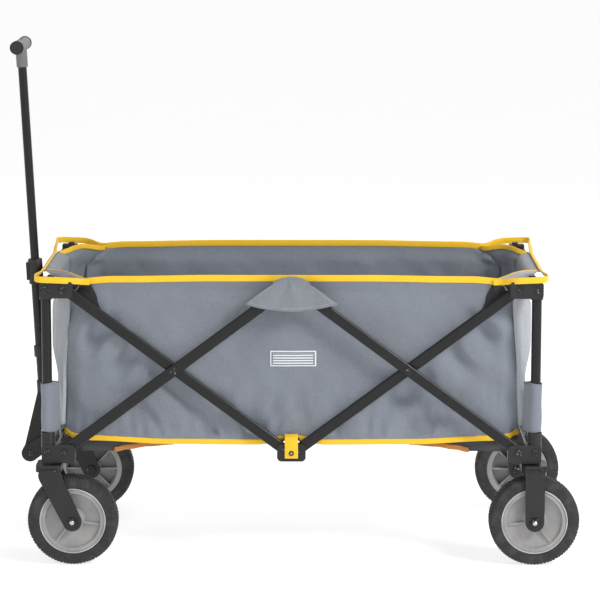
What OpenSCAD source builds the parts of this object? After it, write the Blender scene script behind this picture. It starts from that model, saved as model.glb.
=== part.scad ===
// Folding utility wagon with a telescopic pull handle.
// X runs along the wagon with the handle at -X, Z is up and the ground is z = 0.
// The side frames are scissors: two crossed bars at each end of each side, joined at
// an upper and a lower hub, so that the four posts draw together in X when it folds.

/* [Wagon] */
// Distance between the front and rear corner posts
post_span = 884; // [820:4:940]
// Distance between the near and far corner posts
post_track = 420; // [400:2:460]
// Height of the lower frame pivots above the ground
low_z = 210; // [206:1:216]
// Height of the upper frame pivots above the ground, with the wagon open
high_z = 508; // [480:1:520]
// Offset of the wagon's middle from the origin, which is the middle of the whole length
mid_x = -5; // [-12:1:0]

/* [Frame] */
// Outside radius of a corner post
post_r = 9; // [8.5:0.5:10]
// Width of a scissor bar
bar_w = 20; // [16:1:20]
// Thickness of a scissor bar
bar_t = 8; // [6:0.5:8]
// Distance from a post's axis to the pivot on its brackets
pivot_in = 30; // [28:1:34]
// Distance between the two pivots of a middle hub
hub_gap = 24; // [22:1:30]
// Radius of the pivot pins
pin_r = 3; // [2.5:0.5:4]

/* [Wheels] */
// Outside radius of a tyre
tyre_r = 82.5; // [76:0.5:82.5]
// Width of a tyre
tyre_w = 40; // [34:1:42]
// Radius where the tyre meets the hub
rim_r = 60; // [54:1:62]
// Distance that a caster's wheel trails behind its swivel
trail = 44; // [36:1:46]
// Radius of the wheel axles
axle_r = 5; // [4:0.5:6]

/* [Handle] */
// Angle that the upright handle leans outwards
lean = 2.8; // [0:0.1:6]
// Outside radius of the handle's inner tube
handle_r = 8; // [7:0.5:8.5]
// Length of the T grip
grip_l = 152; // [120:2:170]
// Distance from the top of the clamp to the middle of the grip
grip_s = 400; // [320:5:420]

/* [Fabric] */
// Distance between the outer faces of the two side panels
bed_w = 384; // [360:2:384]
// Thickness of a fabric solid
cloth_t = 2; // [1.5:0.5:3]
// Height of the fabric floor's underside
floor_z = 226; // [224:1:230]
// Thickness of the folding floor mat
mat_t = 8; // [5:1:12]

/* [Hidden] */
$fn = 64;

// Colours
steel_black = [0.07, 0.07, 0.075];
plastic_black = [0.1, 0.1, 0.105];
zinc = [0.7, 0.7, 0.72];
cloth_grey = [0.3, 0.34, 0.38];
cloth_light = [0.5, 0.52, 0.54];
trim_yellow = [0.95, 0.66, 0.05];
tyre_black = [0.06, 0.06, 0.06];
hub_grey = [0.52, 0.52, 0.52];
grip_grey = [0.6, 0.6, 0.6];

// Fits: radial clearance of a turning or sliding fit, and the gap beside a moving face
fit = 0.05;
side_gap = 0.4;

// Places. Distances in y are from the middle plane, and the near side mirrors the far one.
post_x = post_span / 2;
post_y = post_track / 2;
hub_x = hub_gap / 2;
bar_in_y = post_y - 10;
bar_out_y = post_y + 1;
bar_run = post_x - pivot_in - hub_x;

// Brackets
bracket_out_y = post_y + 13.4;
low_bracket_in_y = post_y - 12;
high_bracket_in_y = post_y - 14;
bracket_back = 11;
bracket_front = 49;
slot_start = 18;
low_bracket_bottom = low_z - 21;
low_bracket_top = low_z + 13;
low_collar_top = low_z + 35;
high_bracket_bottom = high_z - 16;
high_bracket_top = high_z + 14;
post_wall = 1.2;
post_bottom = low_z - 4;
post_top = high_z - 20;
inner_post_r = post_r - post_wall - side_gap;
inner_post_bottom = low_z + 15;
inner_post_top = high_z - 3;
stem_r = 5;
stem_top = low_z - 6;
crossbar_r = 9.5;
upper_crossbar_r = 8;
tube_wall = 1.4;
low_crossbar_z = low_z - 10;
head_r = 6.5;
head_t = 1.8;

// Middle hubs
hub_plate = 3.2;
hub_half = 26;
top_web_z = high_z + 11.5;
bottom_web_z = low_z - 11.5;
bottom_strap_w = 24;
bottom_tube_r = 6;

// Forks, measured from the wheel's middle plane
fork_in = tyre_w / 2 + 2.5;
fork_t = 4.5;
fork_out = fork_in + fork_t;
crown_bottom = 175;
crown_top = low_bracket_bottom - 2;
fork_end_r = 17;

// Handle: s is measured along its tube from the top of the clamp
handle_x = -post_x - 40.9;
handle_z = high_z + 23;
handle_pivot = [-post_x - 55, low_z - 50];
link_top_s = -232;
plug_l = 18;
outer_r = 10;
outer_bore = 8.6;
clamp_l = 47;
inner_tube_end = -43;
link_half = 8;

// ---------- helpers ----------

module both_sides() {
    children();
    mirror([0, 1, 0]) children();
}

// Places an end of the wagon: local x = 0 is the post's axis and +x points inboard
module front_end() {
    translate([mid_x - post_x, 0, 0]) children();
}

module rear_end() {
    translate([mid_x + post_x, 0, 0]) mirror([1, 0, 0]) children();
}

module rod_y(x, z, r, y0, y1) {
    translate([x, y0, z]) rotate([-90, 0, 0]) cylinder(r = r, h = y1 - y0);
}

module rod_z(x, y, r, z0, z1) {
    translate([x, y, z0]) cylinder(r = r, h = z1 - z0);
}

module block(x0, x1, y0, y1, z0, z1) {
    translate([x0, y0, z0]) cube([x1 - x0, y1 - y0, z1 - z0]);
}

// Extrudes an outline in the x-z plane from y0 to y1
module plate_y(y0, y1) {
    translate([0, y1, 0]) rotate([90, 0, 0]) linear_extrude(y1 - y0) children();
}

module round_rect(x0, x1, z0, z1, r) {
    translate([x0 + r, z0]) square([x1 - x0 - 2 * r, z1 - z0]);
    translate([x0, z0 + r]) square([x1 - x0, z1 - z0 - 2 * r]);
    for (x = [x0 + r, x1 - r], z = [z0 + r, z1 - r])
        translate([x, z]) circle(r);
}

// Unit normal on the left of the tangent line from circle a to circle b
function tangent_normal(a, ra, b, rb, side) =
    let (d = b - a, turn = acos((ra - rb) / norm(d)), base = atan2(d[1], d[0]))
    [cos(base + side * turn), sin(base + side * turn)];

// Plate outline round two circles joined by their outer tangents
module taper(a, ra, b, rb) {
    n = tangent_normal(a, ra, b, rb, 1);
    m = tangent_normal(a, ra, b, rb, -1);
    translate(a) circle(ra);
    translate(b) circle(rb);
    polygon([a + ra * n, b + rb * n, b + rb * m, a + ra * m]);
}

// A pin along y with a flat round head at each end
module headed_pin(x, z, r, y0, y1) {
    rod_y(x, z, r, y0, y1);
    rod_y(x, z, head_r, y1, y1 + head_t);
    rod_y(x, z, head_r, y0 - head_t, y0);
}

// ---------- end frames ----------

module post_pair() {
    both_sides() difference() {
        rod_z(0, post_y, post_r, post_bottom, post_top);
        rod_z(0, post_y, post_r - post_wall, post_bottom - 1, post_top + 1);
    }
}

module inner_post_pair() {
    both_sides() difference() {
        rod_z(0, post_y, inner_post_r, inner_post_bottom, inner_post_top);
        rod_z(0, post_y, inner_post_r - post_wall, inner_post_bottom - 1, inner_post_top + 1);
    }
}

// Socket for the post above, bore for the fork's stem below and a slot for the outer bar
module lower_bracket_pair() {
    both_sides() difference() {
        union() {
            plate_y(low_bracket_in_y, bracket_out_y)
                round_rect(-bracket_back, bracket_front, low_bracket_bottom, low_bracket_top, 6);
            rod_z(0, post_y, post_r + 3.5, low_z, low_collar_top);
        }
        rod_z(0, post_y, post_r + fit, post_bottom, low_collar_top + 1);
        rod_z(0, post_y, stem_r + fit, low_bracket_bottom - 1, post_bottom + 1);
        block(slot_start, bracket_front + 1, bar_out_y - side_gap, bar_out_y + bar_t + side_gap,
            low_bracket_bottom - 1, low_bracket_top + 1);
        rod_y(pivot_in, low_z, pin_r + fit, low_bracket_in_y - 1, bracket_out_y + 1);
        rod_y(0, low_z, pin_r + fit, bracket_out_y - 3, bracket_out_y + 1);
    }
}

// Caps the inner post and holds the inner bar in a slot that is open below
module upper_bracket_pair() {
    both_sides() difference() {
        union() {
            plate_y(high_bracket_in_y, bracket_out_y)
                round_rect(-bracket_back, bracket_front, high_bracket_bottom, high_bracket_top, 6);
            rod_z(0, post_y, post_r + 2.5, post_top + 1, high_z);
            rod_z(pivot_in / 2, post_y, 8, high_z, high_bracket_top + 3);
        }
        rod_z(0, post_y, inner_post_r + fit, post_top, inner_post_top);
        block(slot_start, bracket_front + 1, bar_in_y - side_gap, bar_in_y + bar_t + side_gap,
            high_bracket_bottom - 1, high_bracket_top - 3);
        rod_y(pivot_in, high_z, pin_r + fit, high_bracket_in_y - 1, bracket_out_y + 1);
        rod_y(0, high_z, pin_r + fit, bracket_out_y - 3, bracket_out_y + 1);
    }
}

// The pivot bolt of each bracket, and the short screw that holds the bracket on its post
module bracket_bolts(z, in_y) {
    both_sides() {
        headed_pin(pivot_in, z, pin_r, in_y, bracket_out_y);
        rod_y(0, z, pin_r, bracket_out_y - 2.8, bracket_out_y);
        rod_y(0, z, head_r, bracket_out_y, bracket_out_y + head_t);
    }
}

module crossbar(z, r, half) {
    difference() {
        rod_y(0, z, r, -half, half);
        rod_y(0, z, r - tube_wall, -half - 1, half + 1);
    }
}

module end_panel() {
    block(pivot_in - slot_start, pivot_in - slot_start + cloth_t, -bed_w / 2 + 3, bed_w / 2 - 3,
        floor_z, high_z + 20);
}

// Cloth loops round the lower half of the posts
module sleeve_pair() {
    both_sides() difference() {
        rod_z(0, post_y, post_r + 2.5, low_z + 36, low_z + 126);
        rod_z(0, post_y, post_r + 0.6, low_z + 35, low_z + 127);
    }
}

module front_posts() {
    color(steel_black) front_end() post_pair();
}

module front_lower_brackets() {
    color(plastic_black) front_end() lower_bracket_pair();
}

module front_lower_crossbar() {
    color(steel_black) front_end() crossbar(low_crossbar_z, crossbar_r, low_bracket_in_y);
}

module front_lower_bolts() {
    color(zinc) front_end() bracket_bolts(low_z, low_bracket_in_y);
}

module front_inner_posts() {
    color(steel_black) front_end() inner_post_pair();
}

module front_upper_brackets() {
    color(plastic_black) front_end() upper_bracket_pair();
}

module front_upper_crossbar() {
    color(steel_black) front_end() crossbar(high_z, upper_crossbar_r, high_bracket_in_y);
}

module front_upper_bolts() {
    color(zinc) front_end() bracket_bolts(high_z, high_bracket_in_y);
}

module front_panel() {
    color(cloth_grey) front_end() end_panel();
}

module front_sleeves() {
    color(cloth_light) front_end() sleeve_pair();
}

module rear_posts() {
    color(steel_black) rear_end() post_pair();
}

module rear_lower_brackets() {
    color(plastic_black) rear_end() lower_bracket_pair();
}

module rear_lower_crossbar() {
    color(steel_black) rear_end() crossbar(low_crossbar_z, crossbar_r, low_bracket_in_y);
}

module rear_lower_bolts() {
    color(zinc) rear_end() bracket_bolts(low_z, low_bracket_in_y);
}

module rear_inner_posts() {
    color(steel_black) rear_end() inner_post_pair();
}

module rear_upper_brackets() {
    color(plastic_black) rear_end() upper_bracket_pair();
}

module rear_upper_crossbar() {
    color(steel_black) rear_end() crossbar(high_z, upper_crossbar_r, high_bracket_in_y);
}

module rear_upper_bolts() {
    color(zinc) rear_end() bracket_bolts(high_z, high_bracket_in_y);
}

module rear_panel() {
    color(cloth_grey) rear_end() end_panel();
}

module rear_sleeves() {
    color(cloth_light) rear_end() sleeve_pair();
}

// ---------- scissor bars ----------

// Flat-oval section of a bar, inset by d
module bar_section(d) {
    translate([bar_t / 2, 0]) {
        square([bar_t - 2 * d, bar_w - bar_t], center = true);
        for (z = [-1, 1]) translate([0, z * (bar_w - bar_t) / 2]) circle(bar_t / 2 - d);
    }
}

module bar_length(x0, x1, d) {
    translate([x0, 0, 0]) rotate([90, 0, 90]) linear_extrude(x1 - x0) bar_section(d);
}

// A bar from pivot p to pivot q in the x-z plane, hollow between its three pivots
module bar(p, q, y) {
    l = norm(q - p);
    translate([p[0], y, p[1]]) rotate([0, -atan2(q[1] - p[1], q[0] - p[0]), 0]) difference() {
        intersection() {
            bar_length(-bar_w / 2, l + bar_w / 2, 0);
            union() {
                rod_y(0, 0, bar_w / 2, -1, bar_t + 1);
                rod_y(l, 0, bar_w / 2, -1, bar_t + 1);
                block(0, l, -1, bar_t + 1, -bar_w / 2, bar_w / 2);
            }
        }
        for (x = [0, l / 2, l]) rod_y(x, 0, pin_r + fit, -1, bar_t + 1);
        bar_length(16, l / 2 - 14, tube_wall);
        bar_length(l / 2 + 14, l - 16, tube_wall);
    }
}

// Each bar is drawn from its post bracket to its middle hub
module outer_bar_pair() {
    both_sides() bar([pivot_in, low_z], [pivot_in + bar_run, high_z], bar_out_y);
}

module inner_bar_pair() {
    both_sides() bar([pivot_in, high_z], [pivot_in + bar_run, low_z], bar_in_y);
}

// The rivet where the two bars cross, with the washer that keeps them apart
module cross_rivet_pair() {
    x = pivot_in + bar_run / 2;
    z = (low_z + high_z) / 2;
    both_sides() {
        headed_pin(x, z, pin_r, bar_in_y - side_gap, bar_out_y + bar_t);
        rod_y(x, z, head_r, bar_in_y + bar_t + side_gap, bar_out_y);
    }
}

module front_outer_bars() {
    color(steel_black) front_end() outer_bar_pair();
}

module front_inner_bars() {
    color(steel_black) front_end() inner_bar_pair();
}

module rear_outer_bars() {
    color(steel_black) rear_end() outer_bar_pair();
}

module rear_inner_bars() {
    color(steel_black) rear_end() inner_bar_pair();
}

module front_cross_rivets() {
    color(zinc) front_end() cross_rivet_pair();
}

module rear_cross_rivets() {
    color(zinc) rear_end() cross_rivet_pair();
}

// ---------- middle hubs ----------

// A channel with two cheeks beside the bars that start at y0, joined by a web at z0 to z1
module hub_channel(pivot_z, y0, bottom, top, z0, z1) {
    in0 = y0 - side_gap - hub_plate;
    out1 = y0 + bar_t + side_gap + hub_plate;
    difference() {
        union() {
            plate_y(in0, y0 - side_gap) round_rect(-hub_half, hub_half, bottom, top, 8);
            plate_y(out1 - hub_plate, out1) round_rect(-hub_half, hub_half, bottom, top, 8);
            block(-hub_half + 8, hub_half - 8, in0, out1, z0, z1);
        }
        for (x = [-hub_x, hub_x]) rod_y(x, pivot_z, pin_r + fit, in0 - 1, out1 + 1);
    }
}

module hub_rivet_pair(pivot_z, y0) {
    for (x = [-hub_x, hub_x])
        headed_pin(x, pivot_z, pin_r, y0 - side_gap - hub_plate, y0 + bar_t + side_gap + hub_plate);
}

module middle() {
    translate([mid_x, 0, 0]) children();
}

module top_hubs() {
    color(plastic_black) middle() both_sides()
        hub_channel(high_z, bar_out_y, high_z - 14, high_z + 18, top_web_z, high_z + 18);
}

module top_hub_rivets() {
    color(zinc) middle() both_sides() hub_rivet_pair(high_z, bar_out_y);
}

module bottom_hubs() {
    color(plastic_black) middle() both_sides()
        hub_channel(low_z, bar_in_y, low_z - 20, low_z + 12, low_z - 20, bottom_web_z);
}

module bottom_hub_rivets() {
    color(zinc) middle() both_sides() hub_rivet_pair(low_z, bar_in_y);
}

module bottom_cross_tube() {
    half = bar_in_y - side_gap - hub_plate;
    color(steel_black) middle() difference() {
        rod_y(0, low_z - 4, bottom_tube_r, -half, half);
        rod_y(0, low_z - 4, bottom_tube_r - tube_wall, -half - 1, half + 1);
    }
}

// Webbing that clips the bed's lower edge to each bottom hub
module bottom_straps() {
    y0 = bar_in_y + bar_t + side_gap + hub_plate + head_t + 0.4;
    color(trim_yellow) middle() both_sides()
        block(-bottom_strap_w / 2, bottom_strap_w / 2, y0, y0 + 1.6, low_z - 16, low_z + 28);
}

// ---------- fabric bed ----------

bed_half = post_x - pivot_in + 13;
panel_top = high_z + 20;

module side_panel() {
    middle() block(-bed_half, bed_half, bed_w / 2 - cloth_t, bed_w / 2, floor_z, panel_top);
}

module side_panel_near() {
    color(cloth_grey) mirror([0, 1, 0]) side_panel();
}

module side_panel_far() {
    color(cloth_grey) side_panel();
}

module floor_panel() {
    half_y = bed_w / 2 - cloth_t;
    color(cloth_grey) middle() block(-bed_half, bed_half, -half_y, half_y, floor_z, floor_z + 3);
}

module floor_mat() {
    half_y = bed_w / 2 - cloth_t - 4;
    z0 = floor_z + 3;
    color(cloth_grey) middle()
        block(-bed_half + 5, bed_half - 5, -half_y, half_y, z0, z0 + mat_t);
}

// Cloth flaps that hang over the top hubs, with a curved lower edge
flap_half = 84;
flap_corner_z = high_z - 26;
flap_low_z = high_z - 39;

function flap_edge(t) =
    [flap_half * t, flap_low_z + (flap_corner_z - flap_low_z) * t * t];

module hub_flaps() {
    y0 = bracket_out_y + head_t + 0.4;
    color(cloth_grey) middle() both_sides() plate_y(y0, y0 + 1.6)
        polygon([[-34, panel_top], for (i = [-8:8]) flap_edge(i / 8), [34, panel_top]]);
}

// ---------- wheels and forks ----------

// Wheel parts are drawn round the y axis with the outboard face towards +y
module spin_y() {
    rotate([-90, 0, 0]) children();
}

module wheel_hub() {
    half = tyre_w / 2;
    difference() {
        union() {
            spin_y() rotate_extrude() polygon([
                [0, -half - 2], [13, -half - 2], [16, -half + 6], [20, 0], [46, 4],
                [50, -half + 5], [51, -half + 2], [rim_r, -half + 3],
                [rim_r, half - 3], [51, half - 2], [48, half - 8], [22, 8],
                [16, half - 4], [13, half + 2], [0, half + 2]
            ]);
            for (a = [-8, 112, 232]) rotate([0, -a, 0])
                block(12, 54, 6, half - 5, -1.5, 1.5);
            for (a = [0:45:315]) rotate([0, -a, 0])
                block(13, 54, -half + 6.5, 5.5, -1.2, 1.2);
        }
        spin_y() cylinder(r = axle_r + fit, h = 80, center = true);
    }
}

module tyre() {
    half = tyre_w / 2;
    spin_y() rotate_extrude() difference() {
        polygon([
            [rim_r, -half + 3], [rim_r + 5, -half], [tyre_r - 9, -half],
            [tyre_r - 3, -half + 4], [tyre_r, -half + 11], [tyre_r, half - 11],
            [tyre_r - 3, half - 4], [tyre_r - 9, half], [rim_r + 5, half], [rim_r, half - 3]
        ]);
    }
}

// Two legs and a crown round a wheel that trails by t, with a stem up into the bracket.
// A trailing fork's legs curve back from a round shoulder, and a straight one's run up flat.
module fork(t) {
    axle = [t, tyre_r];
    shoulder = t > 0 ? [0.08 * t, crown_bottom - 6] : [0, crown_bottom + 40];
    shoulder_r = t > 0 ? 20 : fork_end_r + 1.5;
    difference() {
        union() {
            for (y = [-fork_out, fork_in]) plate_y(y, y + fork_t) intersection() {
                taper(shoulder, shoulder_r, axle, fork_end_r);
                translate([-50, 0]) square([150, crown_bottom + 4]);
            }
            translate([0, 0, crown_bottom]) linear_extrude(crown_top - crown_bottom)
                round_rect(-21, 25, -fork_out, fork_out, 7);
            rod_z(0, 0, 12, crown_top - 1, low_bracket_bottom - side_gap);
            rod_z(0, 0, stem_r, crown_top - 1, stem_top);
        }
        rod_y(axle[0], axle[1], axle_r + fit, -fork_out - 1, fork_out + 1);
    }
}

// Axle bolt with a hexagon head outboard and a nut inboard
module axle(t) {
    rod_y(t, tyre_r, axle_r, -fork_out, fork_out);
    for (y = [-fork_out - 5, fork_out])
        translate([t, y, tyre_r]) rotate([-90, 0, 0]) cylinder(r = 9, h = 5, $fn = 6);
}

module at_corner() {
    translate([0, post_y, 0]) children();
}

module at_wheel(t) {
    translate([t, post_y, tyre_r]) children();
}

module near_side() {
    mirror([0, 1, 0]) children();
}

module caster_fork_near() {
    color(plastic_black) front_end() near_side() at_corner() fork(trail);
}

module caster_fork_far() {
    color(plastic_black) front_end() at_corner() fork(trail);
}

module caster_axle_near() {
    color(zinc) front_end() near_side() at_corner() axle(trail);
}

module caster_axle_far() {
    color(zinc) front_end() at_corner() axle(trail);
}

module rear_forks() {
    color(plastic_black) rear_end() both_sides() at_corner() fork(0);
}

module rear_axles() {
    color(zinc) rear_end() both_sides() at_corner() axle(0);
}

module front_hub_near() {
    color(hub_grey) front_end() near_side() at_wheel(trail) wheel_hub();
}

module front_hub_far() {
    color(hub_grey) front_end() at_wheel(trail) wheel_hub();
}

module rear_hub_near() {
    color(hub_grey) rear_end() near_side() at_wheel(0) wheel_hub();
}

module rear_hub_far() {
    color(hub_grey) rear_end() at_wheel(0) wheel_hub();
}

module front_tyre_near() {
    color(tyre_black) front_end() near_side() at_wheel(trail) tyre();
}

module front_tyre_far() {
    color(tyre_black) front_end() at_wheel(trail) tyre();
}

module rear_tyre_near() {
    color(tyre_black) rear_end() near_side() at_wheel(0) tyre();
}

module rear_tyre_far() {
    color(tyre_black) rear_end() at_wheel(0) tyre();
}

// ---------- pull handle ----------

// Clamped round the front crossbar, with two ears that hold the handle's foot
module handle_mount() {
    bar_at = [-post_x, low_crossbar_z];
    foot = handle_pivot;
    ear_in = link_half + side_gap;
    color(plastic_black) middle() difference() {
        union() {
            both_sides() plate_y(ear_in, ear_in + 4.5) taper(bar_at, 14, foot, 16);
            rod_y(bar_at[0], bar_at[1], 14, -ear_in - 4.5, ear_in + 4.5);
        }
        rod_y(bar_at[0], bar_at[1], crossbar_r + fit, -30, 30);
        rod_y(foot[0], foot[1], pin_r + 1 + fit, -30, 30);
    }
}

module handle_pivot_pin() {
    half = link_half + side_gap + 4.5;
    color(zinc) middle() headed_pin(handle_pivot[0], handle_pivot[1], pin_r + 1, -half, half);
}

// Along the handle's tube: z is s, measured up from the top of the clamp
module on_handle() {
    translate([mid_x + handle_x, 0, handle_z]) rotate([0, -lean, 0]) children();
}

module pipe(s0, s1, r, bore) {
    difference() {
        rod_z(0, 0, r, s0, s1);
        rod_z(0, 0, bore, s0 - 1, s1 + 1);
    }
}

// Cranked arm from the pivot up to a plug in the foot of the outer tube
module handle_link() {
    knee = [handle_x - (link_top_s - 16) * sin(lean), handle_z + (link_top_s - 16) * cos(lean)];
    color(plastic_black) {
        middle() difference() {
            plate_y(-link_half, link_half) taper(handle_pivot, 13, knee, 9);
            rod_y(handle_pivot[0], handle_pivot[1], pin_r + 1 + fit, -30, 30);
        }
        on_handle() rotate_extrude() polygon([
            [0, link_top_s - 22], [outer_r + 2, link_top_s - 22], [outer_r + 2, link_top_s],
            [outer_bore - fit, link_top_s], [outer_bore - fit, link_top_s + plug_l],
            [0, link_top_s + plug_l]
        ]);
    }
}

module handle_outer_tube() {
    color(steel_black) on_handle() pipe(link_top_s, -4, outer_r, outer_bore);
}

// Collar that grips the inner tube, with the boss of its squeeze lever facing outwards
module handle_clamp() {
    color(plastic_black) on_handle() difference() {
        union() {
            rod_z(0, 0, outer_r + 3.5, -clamp_l, 0);
            block(-17, -6, -8, 8, -clamp_l + 8, -6);
        }
        rod_z(0, 0, outer_r + fit, -clamp_l - 1, -4);
        rod_z(0, 0, handle_r + fit, -5, 1);
    }
}

// Band with the lug that parks the handle on the front frame
module handle_clip() {
    color(plastic_black) on_handle() difference() {
        union() {
            rod_z(0, 0, outer_r + 3, -186, -165);
            block(6, 15, -6, 6, -184, -167);
        }
        rod_z(0, 0, outer_r + fit, -190, -160);
    }
}

module handle_inner_tube() {
    color(steel_black) on_handle() pipe(inner_tube_end, grip_s - 14, handle_r, handle_r - 1.2);
}

// T grip along y, with the neck that takes the tube
module handle_grip() {
    half = grip_l / 2 - 14;
    color(grip_grey) on_handle() difference() {
        union() {
            rod_y(0, grip_s, 11.5, -half, half);
            rod_z(0, 0, 10.5, grip_s - 40, grip_s);
        }
        rod_z(0, 0, handle_r + fit, grip_s - 41, grip_s - 14);
    }
}

module handle_grip_caps() {
    half = grip_l / 2;
    color(plastic_black) on_handle() both_sides() {
        rod_y(0, grip_s, 12.5, half - 14, half - 3);
        rod_y(0, grip_s, 10.5, half - 3, half);
    }
}

front_posts();
front_lower_brackets();
front_lower_crossbar();
front_lower_bolts();
handle_mount();
handle_pivot_pin();
front_inner_posts();
front_upper_brackets();
front_upper_crossbar();
front_upper_bolts();
front_panel();
front_sleeves();
rear_posts();
rear_lower_brackets();
rear_lower_crossbar();
rear_lower_bolts();
rear_forks();
rear_axles();
rear_inner_posts();
rear_upper_brackets();
rear_upper_crossbar();
rear_upper_bolts();
rear_panel();
rear_sleeves();
front_outer_bars();
front_inner_bars();
rear_outer_bars();
rear_inner_bars();
front_cross_rivets();
rear_cross_rivets();
top_hubs();
top_hub_rivets();
side_panel_near();
side_panel_far();
hub_flaps();
floor_panel();
floor_mat();
bottom_hubs();
bottom_hub_rivets();
bottom_cross_tube();
bottom_straps();
caster_fork_near();
caster_fork_far();
caster_axle_near();
caster_axle_far();
front_hub_near();
front_hub_far();
rear_hub_near();
rear_hub_far();
front_tyre_near();
front_tyre_far();
rear_tyre_near();
rear_tyre_far();
handle_link();
handle_outer_tube();
handle_clamp();
handle_clip();
handle_inner_tube();
handle_grip();
handle_grip_caps();
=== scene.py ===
"""Looks of the folding utility wagon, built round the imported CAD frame.

Lengths in the builders are millimetres and become metres in at(). A place is given from the middle of the
wagon outwards: end is -1 at the front and 1 at the rear, side is -1 on the near side and 1 on the far side,
p runs outwards along x, q runs outwards along y and z runs up from the ground.
"""

import math
import random

import bpy
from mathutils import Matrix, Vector, noise


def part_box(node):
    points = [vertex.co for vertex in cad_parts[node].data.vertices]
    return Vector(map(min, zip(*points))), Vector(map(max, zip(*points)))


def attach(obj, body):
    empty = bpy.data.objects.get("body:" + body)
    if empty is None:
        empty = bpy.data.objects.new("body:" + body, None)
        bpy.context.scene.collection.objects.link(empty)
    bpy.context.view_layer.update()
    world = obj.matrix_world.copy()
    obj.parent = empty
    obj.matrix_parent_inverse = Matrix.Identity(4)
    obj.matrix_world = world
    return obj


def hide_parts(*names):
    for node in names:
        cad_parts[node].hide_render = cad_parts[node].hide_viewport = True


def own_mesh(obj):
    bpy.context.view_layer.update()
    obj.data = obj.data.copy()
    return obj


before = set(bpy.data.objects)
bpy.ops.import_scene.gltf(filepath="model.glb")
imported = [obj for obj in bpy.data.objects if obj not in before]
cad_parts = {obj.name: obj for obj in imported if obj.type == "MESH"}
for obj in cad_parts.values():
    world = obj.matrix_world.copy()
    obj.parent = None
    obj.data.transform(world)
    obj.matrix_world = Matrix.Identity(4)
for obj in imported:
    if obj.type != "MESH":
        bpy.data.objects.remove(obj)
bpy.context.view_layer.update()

MM = 0.001
ENDS = (("front", -1), ("rear", 1))
SIDES = (("near", -1), ("far", 1))
CORNERS = [(f"{name}_{side_name}", name, end, side) for name, end in ENDS for side_name, side in SIDES]

# ---------- places from the frame ----------

wall_low, wall_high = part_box("side_panel_near")
MID_X = (wall_low.x + wall_high.x) / 2 / MM
WALL_Q = -(wall_low.y + wall_high.y) / 2 / MM
BASE_Z = wall_low.z / MM
TOP_Z = wall_high.z / MM
post_low, post_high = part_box("rear_posts")
POST_P = (post_low.x + post_high.x) / 2 / MM - MID_X
POST_Q = post_high.y / MM - (post_high.x - post_low.x) / 2 / MM
LABEL_W, LABEL_H = 84, 29
WHEEL_P = {"front": 398, "rear": 442}
WHEEL_Q = 210
AXLE_Z = 82.5

# The fold draws the cloth in along the wagon, to these shares of its length when folded.
BED_KEEP = 0.19
FLAP_KEEP = 0.62


def at(end, side, p, q, z):
    """The place in metres of (p, q, z) at one end and side."""
    return Vector((MID_X + end * p, side * q, z)) * MM


def smooth(a, b, x):
    t = min(1.0, max(0.0, (x - a) / (b - a)))
    return t * t * (3 - 2 * t)


def mix(a, b, t):
    return a + (b - a) * t


def bump(x, middle, half):
    """1 at the middle, falling smoothly to 0 at half to each side."""
    t = (x - middle) / half
    return (1 - t * t) ** 2 if abs(t) < 1 else 0.0


def follow(table, x):
    """A smooth line through the (x, value) pairs of a short table."""
    if x <= table[0][0]:
        return table[0][1]
    for (x0, v0), (x1, v1) in zip(table, table[1:]):
        if x <= x1:
            return mix(v0, v1, smooth(x0, x1, x))
    return table[-1][1]


def ripple(x, z, scale, seed):
    """Smooth noise from -1 to 1 with features about this many mm wide."""
    return noise.noise(Vector((x / scale, z / scale, seed)))


# ---------- materials ----------


class Shader:
    """A Principled material with a few short ways to add nodes to it."""

    def __init__(self, name, colour, roughness, **sockets):
        self.made = bpy.data.materials.new("look_" + name)
        self.made.use_nodes = True
        self.tree = self.made.node_tree
        self.body = self.tree.nodes["Principled BSDF"]
        self.body.inputs["Base Color"].default_value = (*colour, 1)
        self.body.inputs["Roughness"].default_value = roughness
        for socket, value in sockets.items():
            self.body.inputs[socket.replace("_", " ").title().replace("Ior", "IOR")].default_value = value
        self.colour = colour
        self.coords = self.tree.nodes.new("ShaderNodeTexCoord")

    def node(self, kind, inputs=None, **settings):
        n = self.tree.nodes.new("ShaderNode" + kind)
        for key, value in settings.items():
            setattr(n, key, value)
        for key, value in (inputs or {}).items():
            if isinstance(value, bpy.types.NodeSocket):
                self.tree.links.new(value, n.inputs[key])
            else:
                n.inputs[key].default_value = value
        return n

    def math(self, operation, a, b=0.0, c=0.0):
        return self.node("Math", {0: a, 1: b, 2: c}, operation=operation).outputs[0]

    def noise(self, scale, detail=3.0, rough=0.55, space="Object", vector=None):
        source = vector if vector is not None else self.coords.outputs[space]
        inputs = {"Vector": source, "Scale": scale, "Detail": detail, "Roughness": rough}
        return self.node("TexNoise", inputs).outputs["Fac"]

    def remap(self, value, low, high, to_low, to_high):
        inputs = {"Value": value, 1: low, 2: high, 3: to_low, 4: to_high}
        return self.node("MapRange", inputs).outputs[0]

    def stretch(self, scale, space="Object"):
        return self.node("Mapping", {"Vector": self.coords.outputs[space], "Scale": scale}).outputs[0]

    def blend(self, factor, a, b):
        n = self.node("Mix", {0: factor}, data_type="RGBA")
        for key, value in ((6, a), (7, b)):
            if isinstance(value, bpy.types.NodeSocket):
                self.tree.links.new(value, n.inputs[key])
            else:
                n.inputs[key].default_value = (*value, 1)
        return n.outputs[2]

    def set(self, socket, value):
        self.tree.links.new(value, self.body.inputs[socket])

    def relief(self, *layers):
        """Bump from (height socket, distance in metres, strength) layers, coarsest first."""
        normal = None
        for height, distance, strength in layers:
            inputs = {"Height": height, "Distance": distance, "Strength": strength}
            if normal is not None:
                inputs["Normal"] = normal
            normal = self.node("Bump", inputs).outputs[0]
        self.set("Normal", normal)


def scaled(colour, factor):
    return tuple(min(1.0, c * factor) for c in colour)


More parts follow.
